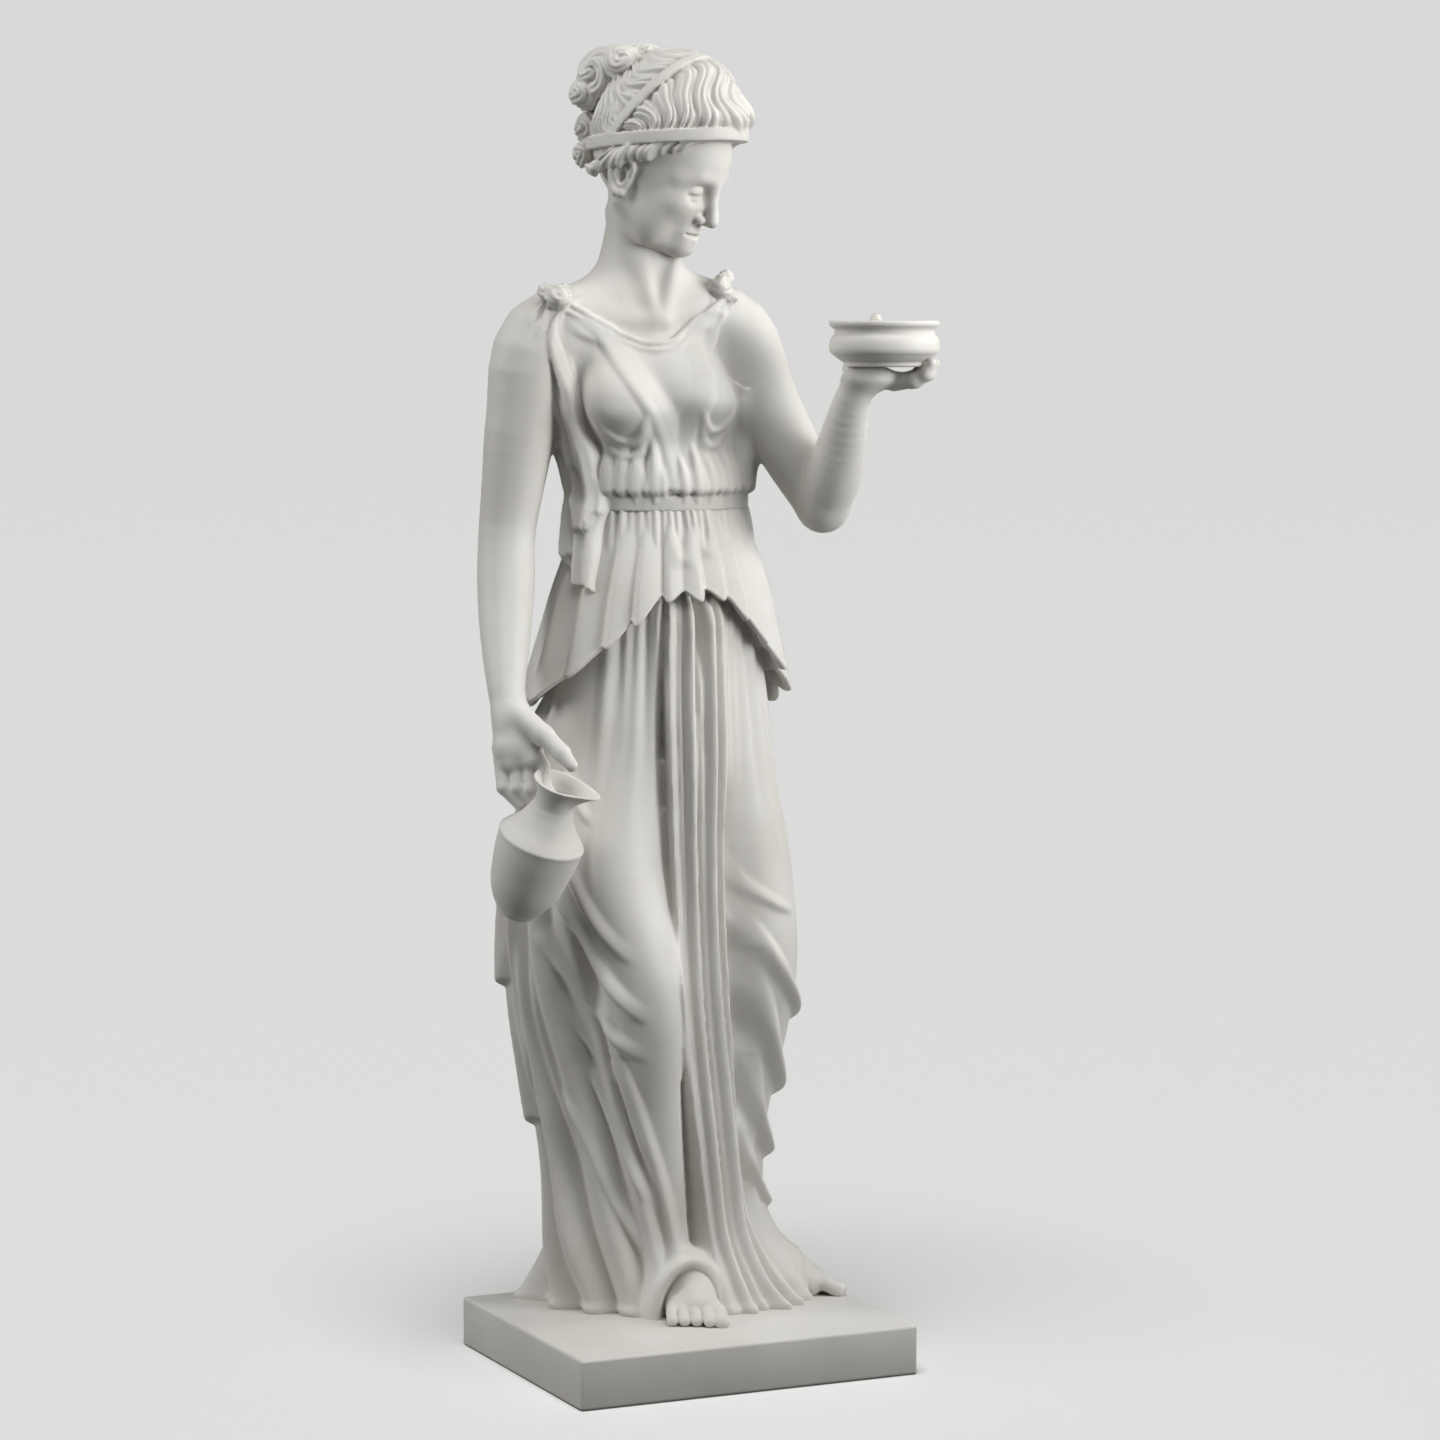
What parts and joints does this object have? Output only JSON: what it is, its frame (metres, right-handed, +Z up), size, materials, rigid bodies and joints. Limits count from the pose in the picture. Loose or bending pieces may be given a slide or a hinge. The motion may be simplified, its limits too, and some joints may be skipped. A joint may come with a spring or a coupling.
{
  "type": "resin goddess statue",
  "caption": "Decorative cast resin statue of a standing classical goddess with jug and raised bowl, in one piece with a plain rectangular plinth.",
  "frame": {"origin": "middle of the plinth's underside", "axes": "+Z up the figure, -Y out of the front of the plinth, +X to the figure's left"},
  "size_m": [0.0983, 0.0783, 0.3051],
  "materials": {
    "cast_resin": "matte off-white cast resin with marble dust"
  },
  "bodies": {
    "root": {"statue_casting": "cast_resin"}
  },
  "joints": []
}
